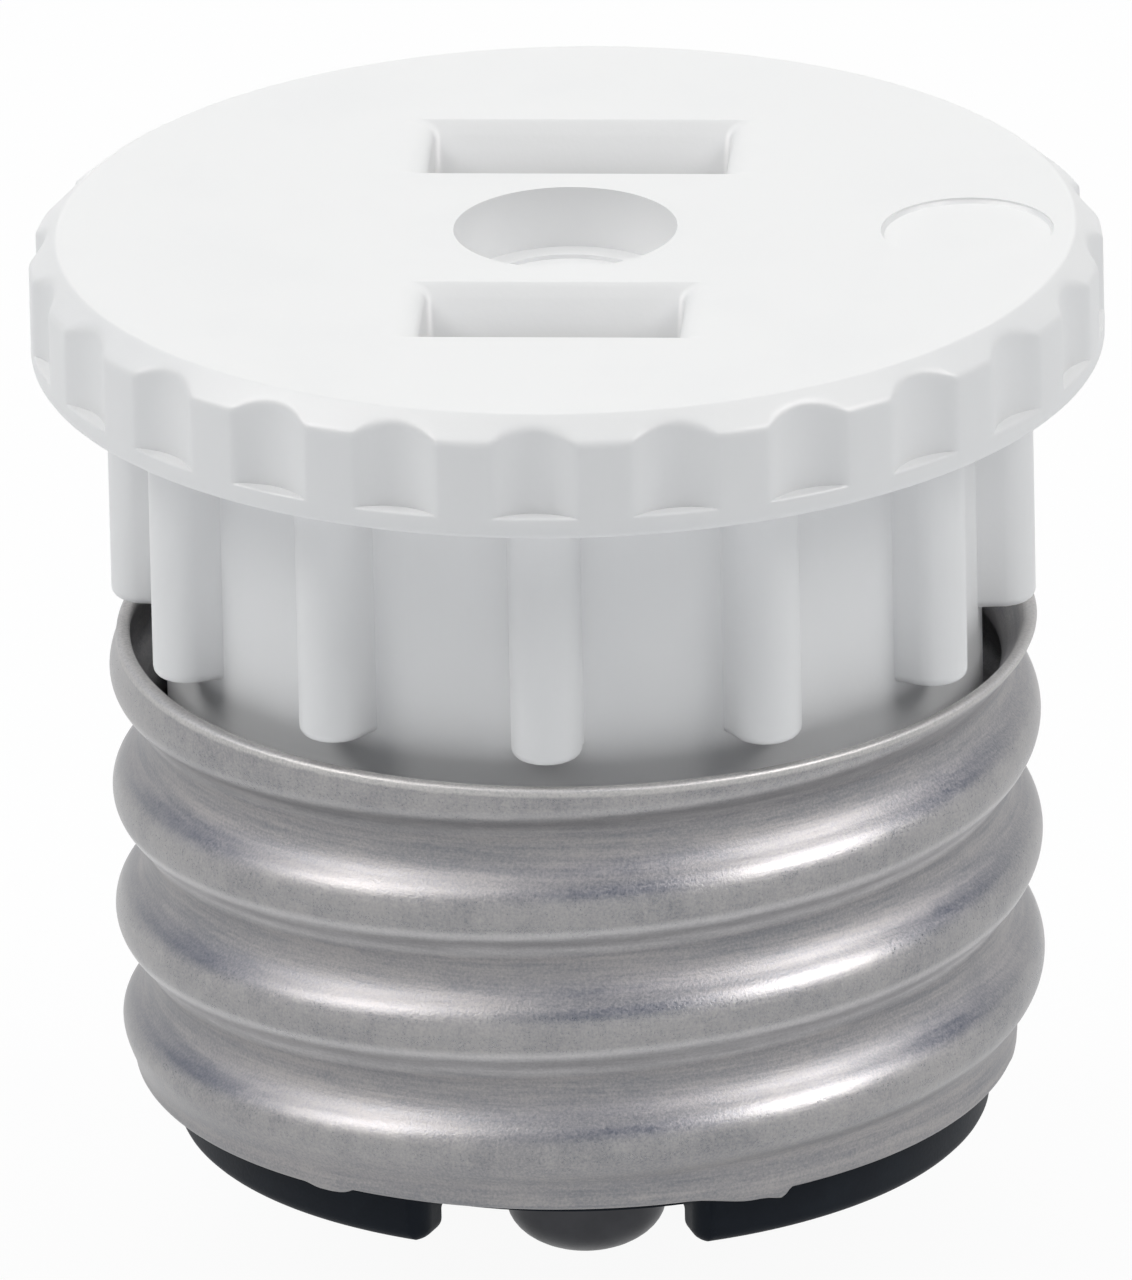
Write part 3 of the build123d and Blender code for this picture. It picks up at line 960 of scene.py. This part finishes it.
@dataclass
class OutletMoulding:
    """The white moulding: outlet face, fluted flange, ribs and core."""

    core_radius: float = CORE_RADIUS
    core_edge: float = 0.3
    rim_level: float = RIM_LEVEL
    rib_count: int = 12
    rib_radius: float = 1.0
    rib_height: float = 1.55
    rib_bottom: float = 19.75
    rib_rounding: float = 0.3
    rib_root: float = 0.16
    rib_lead: float = 0.1       # how far below the ribs the core has one more row
    under_shares: tuple[float, ...] = (0.3, 0.65)   # where rows lie across the flange's underside
    flange_bottom: float = 27.4
    flange_fillet: float = 0.3
    flange_rounding: float = 0.2
    bevel_width: float = 0.77
    bevel_height: float = 0.65
    bevel_rounding: float = 0.35
    bevel_rows: int = 8
    face_rounding: float = 0.16
    face_ring: float = 0.12
    flute_count: int = 24
    flute_width: float = 2.3
    flute_depth: float = 0.43
    flute_ledge: float = 0.62
    ledge_rounding: float = 0.07
    ledge_step: float = 0.01    # how far above the ledge the flutes have their full depth
    ledge_lead: float = 0.08    # how far above the ledge the flange's plain side begins
    flute_edge: float = 0.18
    sector_columns: int = 28
    column_spread: float = 0.16
    column_crowd: float = 5.0
    mark_columns: int = 96
    draw_rows: int = 7          # down the drawn walls of the slots and the recess
    slot_spacing: float = 12.7
    long_slot: float = 10.2
    short_slot: float = 9.05
    slot_width: float = 4.0
    slot_lead: float = 0.15
    slot_end_lead: float = 0.85
    end_sink: float = 0.4
    slot_corner: float = 0.22
    funnel_depth: float = 2.0
    funnel_end_run: float = 0.95
    funnel_side_run: float = 0.9
    face_wall: float = 3.2
    long_pocket: float = 8.1
    short_pocket: float = 6.7
    pocket_width: float = 4.1
    recess_radius: float = 3.15
    recess_depth: float = 1.76
    recess_draw: float = 0.06
    recess_step_width: float = 0.7
    recess_step: float = 0.12
    disc_radius: float = 2.43
    disc_depth: float = 0.15
    disc_edge: float = 0.09
    disc_margin: float = 0.6
    lug_channel: float = 2.9
    lug_top: float = LUG_TOP
    clinch_bore: float = 2.25
    clinch_top: float = 7.63
    pilot_radius: float = 1.47
    pilot_top: float = 14.65
    screw_spacing: float = SCREW_SPACING
    nearly_level: float = 1e-3
    edge_softness: float = 0.05
    edge_angle: float = 38.0

    def __post_init__(self) -> None:
        """Take the outer sizes from the frame."""
        low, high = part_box("face_body")
        self.end_level = low[2] / MM
        self.face_level = high[2] / MM
        self.flange_radius = high[0] / MM
        self.face_radius = self.flange_radius - self.bevel_width
        self.rib_middle = self.core_radius + self.rib_height - self.rib_radius

    def build(self, finish: Finish) -> None:
        """Turn, carve and cut the moulding and dress it.

        Args:
            finish: What it is dressed in.
        """
        piece = self.blank()
        self.open_slots(piece)
        self.sink_marks(piece)
        Bench.modify(piece, "BEVEL", limit_method="ANGLE", angle_limit=math.radians(self.edge_angle),
                     width=self.edge_softness, segments=2, use_clamp_overlap=True)
        self.hollow_end(piece)
        Bench.finish(piece, "face_body", finish)

    def stations(self) -> list[Station]:
        """The rows of the moulding, from the core's end up to the face.

        Returns:
            The rows.
        """
        core, top = self.core_radius, self.flange_bottom
        rows = [
            Station(core - self.core_edge, self.end_level),
            Station(core, self.end_level + self.core_edge),
            Station(core, self.rim_level),
            Station(core, self.rib_bottom - self.rib_lead, plain=0),
            Station(core, self.rib_bottom, plain=0),
        ]
        for rise, shrink in quarter(self.rib_rounding, count=6):
            rows.append(Station(core, self.rib_bottom + rise, self.rib_radius - shrink, plain=0))
        for clear, drop in quarter(self.flange_fillet, count=6):
            rows.append(Station(core + clear, top - drop, self.rib_radius, clear, 0))
        rim = self.flange_radius
        for share in self.under_shares:
            rows.append(Station(core + share * (rim - core), top, self.rib_radius, self.flange_fillet, share))
        side = rounded([
            (rim - 2 * self.flange_rounding, top, 0), (rim, top, self.flange_rounding),
            (rim, top + self.flute_ledge - self.ledge_rounding, 0)])
        rows += [Station(r, z) for r, z in side]
        return rows + self.fluted_stations()

    def fluted_stations(self) -> list[Station]:
        """The rows from the flutes' ledge up to the face.

        Returns:
            The rows.
        """
        rim = self.flange_radius
        ledge = self.flange_bottom + self.flute_ledge
        rows = []
        for bite, drop in quarter(self.ledge_rounding, count=4)[1:]:
            rows.append(Station(rim, ledge - drop, bite=bite))
        full = self.flute_depth * 2
        rows.append(Station(rim, ledge + self.ledge_step, bite=full))
        upper = rounded([
            (rim, ledge + self.ledge_lead, 0),
            (rim, self.face_level - self.bevel_height, self.bevel_rounding),
            (self.face_radius, self.face_level, self.face_rounding),
            (self.face_radius - 2 * self.face_rounding, self.face_level, 0)], steps=6)
        for (r, z), (next_r, next_z) in zip(upper, upper[1:]):
            on_bevel = r - next_r > self.bevel_width / 2 and next_z > z
            pieces = self.bevel_rows if on_bevel else 1
            for step in range(pieces):
                share = step / pieces
                rows.append(Station(r + share * (next_r - r), z + share * (next_z - z), bite=full))
        rows.append(Station(*upper[-1], bite=full))
        return rows

    def ribbed_wall(self, offset: np.ndarray, rib: float) -> np.ndarray:
        """Radius of the core with its ribs.

        Args:
            offset: Angles from the middle of the nearest rib.
            rib: Radius of the rib's section.

        Returns:
            The radius at each angle.
        """
        if rib == 0:
            return np.full_like(offset, self.core_radius)
        sine = np.maximum(np.abs(np.sin(offset)), 1e-9)
        cosine = np.cos(offset)
        front = self.rib_middle * cosine + np.sqrt(np.maximum(rib ** 2 - (self.rib_middle * sine) ** 2, 0))
        on_front = sine / cosine < rib / self.rib_middle
        reach = np.where(on_front, front, np.minimum(rib / sine, self.rib_middle + rib))
        return soft_max(self.core_radius, reach, self.rib_root)

    def groove(self, offset: np.ndarray) -> np.ndarray:
        """Radius of a flute's floor at angles from its middle.

        Args:
            offset: The angles.

        Returns:
            The radius at each angle, beyond the flange outside the flute.
        """
        half = self.flute_width / 2
        sag = self.flute_depth - (self.flange_radius - math.sqrt(self.flange_radius ** 2 - half ** 2))
        cutter = (half ** 2 + sag ** 2) / (2 * sag)
        distance = self.flange_radius - self.flute_depth + cutter
        inside = cutter ** 2 - (distance * np.sin(offset)) ** 2
        floor = distance * np.cos(offset) - np.sqrt(np.maximum(inside, 0))
        return np.where(inside > 0, floor, distance)

    def blank(self) -> bpy.types.Object:
        """The turned form with its ribs and flutes, before it is cut.

        Returns:
            The blank.
        """
        stations = self.stations()
        columns = self.flute_count * self.sector_columns
        lathe = Lathe("outlet_moulding", columns, [(s.radius, s.height) for s in stations])
        piece = lathe.turn()
        edge = math.asin(self.flute_width / 2 / self.flange_radius)
        angles = crowded(
            self.flute_count, self.sector_columns, edge, self.column_spread, self.column_crowd)
        flute = off_nearest(angles, self.flute_count)
        rib = off_nearest(angles, self.rib_count)
        radii = np.array([self.carved(station, flute, rib) for station in stations])
        lathe.reshape(piece, angles, radii, np.array([[s.height] for s in stations]))
        self.frame_face(piece)
        Bench.tidy(piece)
        return piece

    def carved(self, station: Station, flute: np.ndarray, rib: np.ndarray) -> np.ndarray:
        """Radius of one row at each column.

        Args:
            station: The row.
            flute: Angle of each column from the nearest flute.
            rib: Angle of each column from the nearest rib.

        Returns:
            The radii.
        """
        wall = self.ribbed_wall(rib, station.rib) + station.clear
        if station.plain < 1:
            return wall + station.plain * (self.flange_radius - wall)
        cut = soft_min(station.radius, self.groove(flute), self.flute_edge)
        return np.maximum(station.radius - station.bite, cut)

    def frame_face(self, piece: bpy.types.Object) -> None:
        """Set a narrow ring inside the face's edge, so that the face stays flat when it is smoothed.

        Args:
            piece: The moulding, in millimetres.
        """
        Bench.choose(piece, Part.FACE, lambda side: (
            len(side.vertices) > 4 and side.center.z > self.flange_bottom))
        bpy.ops.mesh.inset(thickness=self.face_ring, depth=0)
        bpy.ops.object.mode_set(mode="OBJECT")

    def open_slots(self, piece: bpy.types.Object) -> None:
        """Cut both slots with the pockets behind them.

        Args:
            piece: The moulding, in millimetres.
        """
        y = self.slot_spacing / 2
        Bench.cut(piece, self.slot_cutter(self.long_slot, self.long_pocket, y))
        Bench.cut(piece, self.slot_cutter(self.short_slot, self.short_pocket, -y))

    def slot_cutter(self, length: float, pocket: float, y: float) -> bpy.types.Object:
        """One slot with its lead, funnel, throat and pocket, as a solid.

        Args:
            length: The slot's length at the face.
            pocket: The pocket's length.
            y: Where the slot's middle lies.

        Returns:
            The solid.
        """
        width = self.slot_width
        throat = (length - 2 * self.funnel_end_run, width - 2 * self.funnel_side_run)
        mouth = (length, width + 2 * self.slot_lead)
        face, pocket_top = self.face_level, self.face_level - self.face_wall
        depths = [depth for depth, _ in quarter(self.end_sink, count=9)[1:]]
        depths += np.linspace(self.end_sink, self.funnel_depth, self.draw_rows)[1:].tolist()
        steps = [(self.slot_section(mouth, depth), face - depth) for depth in depths]
        steps += [
            (throat, pocket_top), ((pocket, self.pocket_width), pocket_top),
            ((pocket, self.pocket_width), self.end_level - SPARE)]
        cutter = Bench.box((*mouth, SPARE), (0.0, y, face))
        Bench.choose(cutter, Part.FACE, lambda side: side.normal.z < -0.5)
        size, level = mouth, face
        for next_size, next_level in steps:
            bpy.ops.mesh.extrude_region_move(
                TRANSFORM_OT_translate={"value": (0, 0, next_level - level)})
            share = (next_size[0] / size[0], next_size[1] / size[1], 1)
            bpy.ops.transform.resize(value=share, center_override=(0, y, next_level))
            size, level = next_size, next_level
        bpy.ops.object.mode_set(mode="OBJECT")
        self.round_corners(cutter, pocket_top)
        return cutter

    def slot_section(self, mouth: tuple[float, float], depth: float) -> tuple[float, float]:
        """How long and wide a slot is at a depth: its ends round over soon, its sides draw in slowly.

        Args:
            mouth: The slot's length and width at the face.
            depth: The depth below the face.

        Returns:
            Length and width.
        """
        share = depth / self.funnel_depth
        left = max(1 - depth / self.end_sink, 0)
        below_lead = self.funnel_end_run - self.slot_end_lead
        end = self.slot_end_lead * math.sqrt(1 - left ** 2) + below_lead * share
        side = (self.slot_lead + self.funnel_side_run) * self.draw(share)
        return mouth[0] - 2 * end, mouth[1] - 2 * side

    @staticmethod
    def draw(share: float) -> float:
        """How much of its draw a wall has at a share of its depth, most of it near the face."""
        return 1 - (1 - share) ** 2

    def round_corners(self, cutter: bpy.types.Object, floor: float) -> None:
        """Round the upright corners of a slot's cutter above its pocket.

        Args:
            cutter: The cutter.
            floor: The height of the pocket's upper end.
        """
        def upright(edge: bpy.types.MeshEdge) -> bool:
            """Whether an edge runs up or down, and above the pocket."""
            low, high = sorted(cutter.data.vertices[i].co.z for i in edge.vertices)
            return high - low > self.nearly_level and low > floor - self.nearly_level

        Bench.choose(cutter, Part.EDGE, upright)
        bpy.ops.mesh.bevel(offset=self.slot_corner, segments=4, affect="EDGES", clamp_overlap=True)
        bpy.ops.object.mode_set(mode="OBJECT")

    def sink_marks(self, piece: bpy.types.Object) -> None:
        """Sink the stepped recess in the middle of the face and the shallow disc at +X.

        Args:
            piece: The moulding, in millimetres.
        """
        face = self.face_level
        floor = face - self.recess_depth
        inner = self.recess_radius - self.recess_step_width
        wall = [
            (self.recess_radius - self.recess_draw * self.draw(share), face - self.recess_depth * share)
            for share in np.linspace(1, 0, self.draw_rows).tolist()]
        recess = Lathe("recess", self.mark_columns, [
            (inner, floor - self.recess_step), (inner, floor), *wall, (self.recess_radius, face + SPARE)])
        Bench.cut(piece, recess.solid())
        low = face - self.disc_depth
        disc = Lathe("disc", self.mark_columns, [
            (self.disc_radius - self.disc_edge, low), (self.disc_radius, low + self.disc_edge),
            (self.disc_radius, face + SPARE)]).solid()
        Bench.pick(disc)
        bpy.ops.transform.translate(value=(self.face_radius - self.disc_margin - self.disc_radius, 0, 0))
        bpy.ops.object.transform_apply(location=True, rotation=True, scale=True)
        Bench.cut(piece, disc)

    def hollow_end(self, piece: bpy.types.Object) -> None:
        """Cut the lugs' channel, the rivet's bore and the screws' pilot holes in the core's end.

        Args:
            piece: The moulding, in millimetres.
        """
        low = self.end_level - SPARE
        reach = self.slot_spacing / 2 + self.core_radius + SPARE
        middle = reach / 2 - self.slot_spacing / 2
        Bench.cut(piece, Bench.box((self.lug_channel, reach, self.lug_top - low), (0.0, middle, low)))
        Bench.cut(piece, Bench.drill(self.clinch_bore, low, self.clinch_top))
        for x in (-self.screw_spacing / 2, self.screw_spacing / 2):
            Bench.cut(piece, Bench.drill(self.pilot_radius, low, self.pilot_top, x))


class Place(Enum):
    """What a row of the shell's sheet follows."""

    FLOOR = "floor"
    CORNER = "corner"
    WALL = "wall"


@dataclass(frozen=True)
class SheetRow:
    """One row of the shell's sheet."""

    place: Place
    height: float
    inset: float = 0.0      # how far inside the sheet's outer face
    radius: float = 0.0     # of a floor row
    back: float = 0.0       # how far a corner row lies inside the wall's foot
    staked: float = 0.0     # how far the tongues are pressed down here


@dataclass
class ScrewShell:
    """The threaded sheet shell with its in-turned floor and staked tongues."""

    thread: Thread = Thread()
    wall: float = 0.28
    corner: float = 0.3
    band: float = 12.45
    band_lean: float = 0.2      # how far the band's middle lies towards -X
    band_flare: float = 0.08
    fade_low: float = -0.1
    fade_high: float = 2.2
    flare_low: float = -1.2
    flare_high: float = 1.6
    bead: float = 0.04
    bead_height: float = 0.2
    lip_lift: float = 0.1
    lip_angle: float = 28.0
    lip_fade: float = 3.0
    hole_radius: float = 10.21
    rim_rounding: float = 0.1
    tongue_count: int = 6
    tongue_width: float = 1.4
    tongue_drop: float = 0.28
    tongue_shares: tuple[float, ...] = (0.6, 0.9, 0.7, 0.8, 0.35, 1.0)
    tongue_inner: float = 11.56
    tongue_lead: float = 0.2    # how far inside the tongues the floor has a row that stays flat
    tongue_rounding: float = 0.16
    tongue_slope: float = 0.3
    tongue_ramp: float = 1.6    # how far a full tongue rises gently on its clockwise side
    tongue_turn: float = -1.2   # degrees by which the tongues are off their even places
    columns: int = 288
    column_spread: float = 0.6
    column_crowd: float = 3.0
    bend_rows: int = 9
    wall_rows: int = 112
    inner_rows: int = 56

    def __post_init__(self) -> None:
        """Take the levels from the frame."""
        low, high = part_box("screw_shell")
        self.floor_level = low[2] / MM + self.tongue_drop
        self.rim_level = high[2] / MM

    def side(self, angle: np.ndarray, height: float, inset: float) -> np.ndarray:
        """Radius of the wall, the thread fading into a plain band below and a beaded rim above.

        Args:
            angle: Angles from +X.
            height: The height in the frame.
            inset: How far inside the sheet's outer face.

        Returns:
            The radii.
        """
        above = height - self.floor_level
        below = self.rim_level - height
        plain = self.band - self.band_lean * np.cos(angle) + self.band_flare * above - inset
        rolled = self.thread.radius(angle, above, inset)
        wall = plain + smooth_step(above, self.fade_low, self.fade_high) * (rolled - plain)
        rim = self.thread.crest - inset
        wall = rim + smooth_step(below, self.flare_low, self.flare_high) * (wall - rim)
        bead = 1 - smooth_step(below, self.bead_height, 2 * self.bead_height)
        return wall + bead * self.bead * (1 if inset < self.wall / 2 else -1)

    def rows(self) -> list[SheetRow]:
        """The sheet's rows: under the floor, up outside, over the rim, down inside, back to the hole.

        Returns:
            The rows, the last one on the first.
        """
        floor, wall, inner_bend = self.floor_level, self.wall, self.corner - self.wall
        first = SheetRow(Place.FLOOR, floor, radius=self.hole_radius)
        rows = [first, SheetRow(Place.FLOOR, floor, radius=self.tongue_inner - self.tongue_lead)]
        for angle in np.linspace(0, math.pi / 2, 4):
            rows.append(SheetRow(
                Place.FLOOR, floor, radius=self.tongue_inner + self.tongue_rounding * (1 - math.cos(angle)),
                staked=math.sin(angle)))
        bend = np.linspace(0, math.pi / 2, self.bend_rows)
        for angle in bend:
            rows.append(SheetRow(
                Place.CORNER, floor + self.corner * (1 - math.cos(angle)),
                back=self.corner * (1 - math.sin(angle)), staked=math.cos(angle)))
        eave = self.rim_level - self.rim_rounding
        for height in np.linspace(floor + self.corner, eave, self.wall_rows)[1:]:
            rows.append(SheetRow(Place.WALL, height))
        for angle in np.linspace(0, math.pi, self.bend_rows)[1:]:
            rows.append(SheetRow(
                Place.WALL, eave + self.rim_rounding * math.sin(angle), wall / 2 * (1 - math.cos(angle))))
        for height in np.linspace(eave, floor + self.corner, self.inner_rows)[1:]:
            rows.append(SheetRow(Place.WALL, height, wall))
        for angle in bend[-2::-2]:
            rows.append(SheetRow(
                Place.CORNER, floor + wall + inner_bend * (1 - math.cos(angle)), wall,
                back=inner_bend * (1 - math.sin(angle))))
        rows.append(SheetRow(Place.FLOOR, floor + wall, radius=self.hole_radius))
        return rows + [first]

    def build(self, finish: Finish) -> None:
        """Draw the sheet, roll the thread in it and dress it.

        Args:
            finish: What it is dressed in.
        """
        rows = self.rows()
        drawn = [(self.thread.root, row.height) for row in rows]
        lathe = Lathe("rolled_shell", self.columns, drawn, Cap.OPEN)
        piece = lathe.turn()
        angles = crowded(
            self.tongue_count, self.columns // self.tongue_count, self.tongue_width / 2 / self.tongue_inner,
            self.column_spread, self.column_crowd, math.radians(self.tongue_turn))
        radii = np.array([self.row_radius(row, angles) for row in rows])
        press = self.tongue_drop * self.tongue(angles) - self.lip_lift * self.over_notch(angles)
        heights = np.array([row.height - row.staked * press for row in rows])
        lathe.reshape(piece, angles, radii, heights)
        Bench.tidy(piece)
        Bench.finish(piece, "screw_shell", finish, smooth=50.0)

    def row_radius(self, row: SheetRow, angle: np.ndarray) -> np.ndarray:
        """Radius of one row at each column.

        Args:
            row: The row.
            angle: Angles of the columns.

        Returns:
            The radii.
        """
        if row.place is Place.FLOOR:
            return np.full_like(angle, row.radius)
        if row.place is Place.CORNER:
            return self.side(angle, self.floor_level + self.corner, row.inset) - row.back
        return self.side(angle, row.height, row.inset)

    def over_notch(self, angle: np.ndarray) -> np.ndarray:
        """One in front and behind, where the base is notched and the lip stands a little higher.

        Args:
            angle: Angles from +X.

        Returns:
            The share at each angle.
        """
        half = math.pi / 2
        across = np.abs(angle % (2 * half) - half)
        fade_end = math.radians(self.lip_angle + self.lip_fade)
        return 1 - smooth_step(across, math.radians(self.lip_angle), fade_end)

    def tongue(self, angle: np.ndarray) -> np.ndarray:
        """How far each column is pressed down: up to 1 across a tongue, 0 between the tongues.

        Args:
            angle: Angles of the columns.

        Returns:
            The share of the tongues' drop at each column.
        """
        half = math.pi / self.tongue_count
        angle = angle - math.radians(self.tongue_turn)
        across = off_nearest(angle, self.tongue_count) * self.tongue_inner
        index = np.floor((angle + half) / (2 * half)).astype(int) % self.tongue_count
        share = np.array(self.tongue_shares)[index]
        flat = self.tongue_width / 2 - self.tongue_slope
        run = np.where(across > 0, self.tongue_slope, self.tongue_slope + self.tongue_ramp * share ** 2)
        return share * (1 - smooth_step((np.abs(across) - flat) / run, 0, 1))


@dataclass
class BaseInsulator:
    """The black moulded foot with a notch in front and behind."""

    radius: float = CORE_RADIUS
    thickness: float = 0.85
    foot_width: float = 1.25
    foot_rounding: float = 0.35
    foot_end_rounding: float = 0.6
    notch_angle: float = 39.0
    notch_gap: float = 0.01     # how far the notches stay outside the spigot
    boss_radius: float = 3.3
    boss_bottom: float = 3.2
    top_level: float = SEAT_LEVEL
    foot_bottom: float = 4.4
    spigot_radius: float = 10.11
    rivet_hole: float = 1.3
    screw_hole: float = 1.55
    screw_spacing: float = SCREW_SPACING
    columns: int = 360
    notch_columns: int = 17     # across a notch
    edge: float = 0.12

    def __post_init__(self) -> None:
        """Take the spigot's level from the frame."""
        self.spigot_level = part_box("base_insulator")[1][2] / MM
        self.web_level = self.top_level - self.thickness

    def build(self, finish: Finish) -> None:
        """Turn the foot, notch and drill it and dress it.

        Args:
            finish: What it is dressed in.
        """
        inner, edge = self.radius - self.foot_width, self.edge
        rows = rounded([
            (self.spigot_radius, self.top_level, 0), (self.radius, self.top_level, edge),
            (self.radius, self.foot_bottom, self.foot_rounding),
            (inner, self.foot_bottom, self.foot_rounding),
            (inner, self.web_level, edge), (self.boss_radius, self.web_level, edge),
            (self.boss_radius, self.boss_bottom, 2 * edge), (self.rivet_hole, self.boss_bottom, edge),
            (self.rivet_hole, self.spigot_level, edge), (self.spigot_radius, self.spigot_level, edge),
            (self.spigot_radius, self.top_level, 0)], steps=5)
        piece = Lathe("base_foot", self.columns, rows, Cap.OPEN).solid()
        for turn in (0.0, math.pi):
            Bench.cut(piece, self.notch_cutter(turn))
        for x in (-self.screw_spacing / 2, self.screw_spacing / 2):
            Bench.cut(piece, Bench.drill(self.screw_hole, self.boss_bottom, self.spigot_level + SPARE, x))
        Bench.finish(piece, "base_insulator", finish, smooth=40.0)

    def notch_cutter(self, turn: float) -> bpy.types.Object:
        """One wedge that clears a notch and rounds the lower ends of the feet beside it.

        Args:
            turn: How far the notch lies from the -Y side, in radians.

        Returns:
            The wedge.
        """
        low, rounding = self.foot_bottom, self.foot_rounding
        levels = [(low - SPARE, rounding)]
        levels += [(low + rise, setback) for rise, setback in quarter(rounding, count=7)]
        levels.append((self.top_level + SPARE, 0.0))
        outlines = np.array([self.notch_outline(setback) for _, setback in levels])
        lathe = Lathe("notch", outlines.shape[1], [(self.radius, level) for level, _ in levels])
        cutter = lathe.turn()
        angles = outlines[:, :, 1] + turn - math.pi / 2
        lathe.reshape(cutter, angles, outlines[:, :, 0], np.array([[level] for level, _ in levels]))
        Bench.tidy(cutter)
        return cutter

    def notch_outline(self, setback: float) -> list[Row]:
        """A notch seen from below, its sides flared where they meet the feet's outer wall.

        Args:
            setback: How far both sides are moved away from the notch's middle.

        Returns:
            The distance of each point from the axis and its angle from the notch's middle.
        """
        half = math.radians(self.notch_angle / 2) + setback / self.radius
        inner = self.spigot_radius + self.notch_gap
        side = [(inner, half)]
        for flare, back in quarter(self.foot_end_rounding, count=9):
            side.append((self.radius - back, half + flare / self.radius))
        outer, wide = self.radius + SPARE, side[-1][1]
        side.append((outer, wide))
        across = np.linspace(-1, 1, self.notch_columns)[1:-1]
        outer_arc = [(outer, -share * wide) for share in across]
        inner_arc = [(inner, share * half) for share in across]
        return side + outer_arc + [(reach, -angle) for reach, angle in reversed(side)] + inner_arc


@dataclass
class CentreContact:
    """The domed rivet at the lower end."""

    radius: float = 2.27
    head: float = 3.2
    dome: float = 1.37
    tip_angle: float = 0.03     # half of the dome's flat tip, in radians
    side_lead: float = 0.4      # how far above the dome the plain side begins
    rim_rounding: float = 0.25
    rivet_radius: float = 1.2
    clinch_radius: float = 2.0
    clinch_level: float = LUG_TOP
    clinch_edge: float = 0.05
    clinch_rounding: float = 0.2
    clinch_flat: float = 0.3
    columns: int = 96
    dome_rows: int = 14

    def build(self, finish: Finish) -> None:
        """Turn the rivet and dress it.

        Args:
            finish: What it is dressed in.
        """
        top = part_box("centre_contact")[1][2] / MM
        rows: list[Row] = []
        for angle in np.linspace(self.tip_angle, math.pi / 2, self.dome_rows):
            rows.append((self.radius * math.sin(angle), self.dome * (1 - math.cos(angle))))
        rows += rounded([
            (self.radius, self.dome + self.side_lead, 0), (self.radius, self.head, self.rim_rounding),
            (self.rivet_radius, self.head, 0), (self.rivet_radius, self.clinch_level, 0),
            (self.clinch_radius, self.clinch_level, self.clinch_edge),
            (self.rivet_radius, top, self.clinch_rounding), (self.clinch_flat, top, 0)])
        piece = Lathe("contact_rivet", self.columns, rows).solid()
        Bench.finish(piece, "centre_contact", finish, smooth=40.0)


@dataclass
class HiddenMetal:
    """The blade contacts and base screws, kept as they are and given their metals."""

    dressed: dict[str, Finish]

    def dress(self) -> None:
        """Give each node the material of its finish."""
        for node, finish in self.dressed.items():
            material = finish.material()
            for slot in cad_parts[node].material_slots:
                slot.material = material
            LOG.info("%s: dressed in %s", node, finish.name)


def main() -> None:
    """Build and dress every piece, then the studio."""
    logging.basicConfig(level=logging.INFO, format="%(name)s %(message)s")
    OutletMoulding().build(WhiteMoulding())
    ScrewShell().build(RolledAluminium())
    BaseInsulator().build(BlackMoulding())
    CentreContact().build(PlatedMetal())
    brass = RolledBrass()
    HiddenMetal({
        "hot_contact": brass,
        "neutral_contact": brass,
        "base_screws": PlatedMetal(
            "screw_steel", colour=(0.55, 0.55, 0.56), stain=(0.42, 0.42, 0.43), gloss=0.3),
    }).dress()
    Studio().build()


if __name__ == "__main__":
    main()
